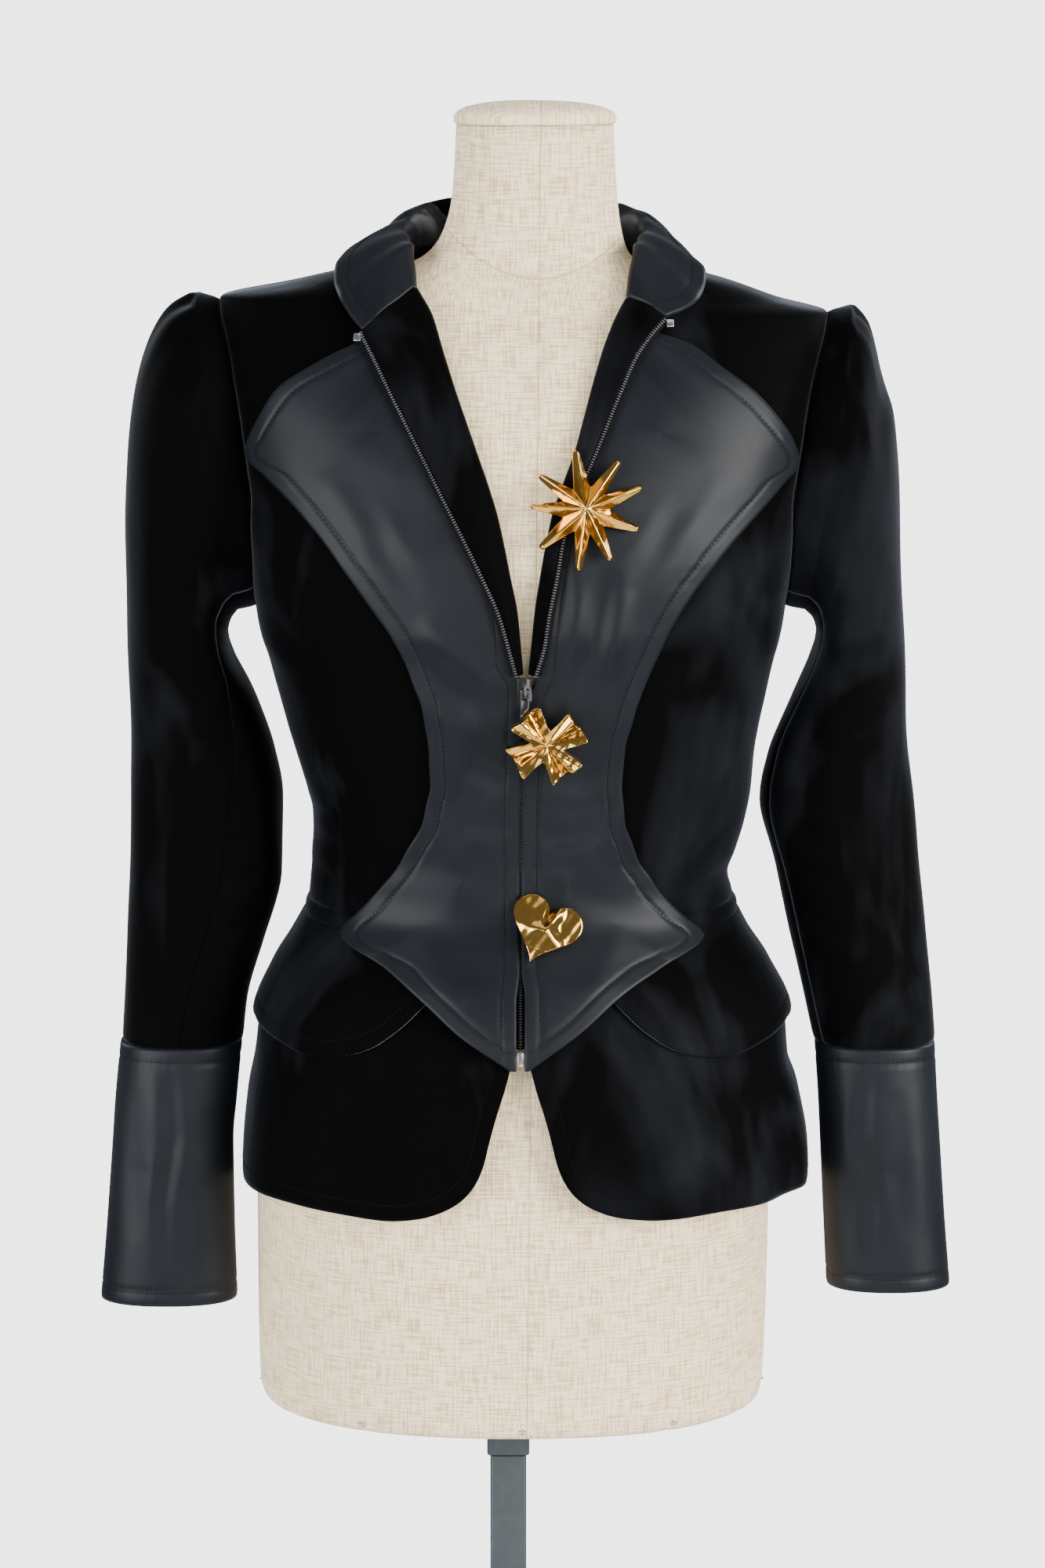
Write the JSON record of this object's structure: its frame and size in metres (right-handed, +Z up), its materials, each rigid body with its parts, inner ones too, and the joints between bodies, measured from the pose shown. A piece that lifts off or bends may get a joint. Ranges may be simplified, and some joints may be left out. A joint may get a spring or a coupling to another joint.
{
  "type": "velvet jacket on dress form",
  "caption": "Fitted velvet jacket with satin front panels, stand collar fallen open, deep cuffs and a two-tier peplum, on a linen dress form with a pole and round base.",
  "frame": {"origin": "centre of the base plate's underside, on the floor", "axes": "+Z up along the form; +X toward the wearer's left; -Y toward the front"},
  "size_m": [0.547, 0.36, 1.5316],
  "materials": {
    "velvet": "black velvet with a soft grey sheen",
    "satin": "blue-black satin",
    "linen": "natural slubby linen",
    "zip": "black woven zip tape",
    "black_metal": "black enamelled metal",
    "steel": "bright",
    "gold": "polished gold colour",
    "dark_steel": "dark grey satin"
  },
  "bodies": {
    "jacket_on_form": {"back_left": "velvet", "back_right": "velvet", "button_clover": "gold", "button_heart": "gold", "button_star": "gold", "collar_back": "velvet", "collar_left": "satin", "collar_right": "satin", "cuff_left": "satin", "cuff_right": "satin", "facing_left": "velvet", "facing_right": "velvet", "form_base": "dark_steel", "form_body": "linen", "form_neck_cap": "linen", "form_pole": "dark_steel", "form_socket": "dark_steel", "front_left": "velvet", "front_right": "velvet", "lower_peplum_left": "velvet", "lower_peplum_right": "velvet", "plastron_left": "satin", "plastron_right": "satin", "sleeve_under_left": "velvet", "sleeve_under_right": "velvet", "sleeve_upper_left": "velvet", "sleeve_upper_right": "velvet", "upper_peplum_left": "velvet", "upper_peplum_right": "velvet", "waistband_left": "velvet", "waistband_right": "velvet", "zip_bottom_box": "steel", "zip_edge_left": "zip", "zip_edge_right": "zip", "zip_slider": "black_metal", "zip_stop_left": "steel", "zip_stop_right": "steel", "zip_tape_left": "zip", "zip_tape_right": "zip"},
    "zip_pull": {"zip_pull_tab": "black_metal"}
  },
  "joints": [
    {"name": "zip_pull_hinge", "type": "hinge", "parent": "jacket_on_form", "child": "zip_pull", "pos_m": [0.00463, -0.12413, 1.1793], "axis": [-1, 0, 0], "range_deg": [0, 7]}
  ]
}
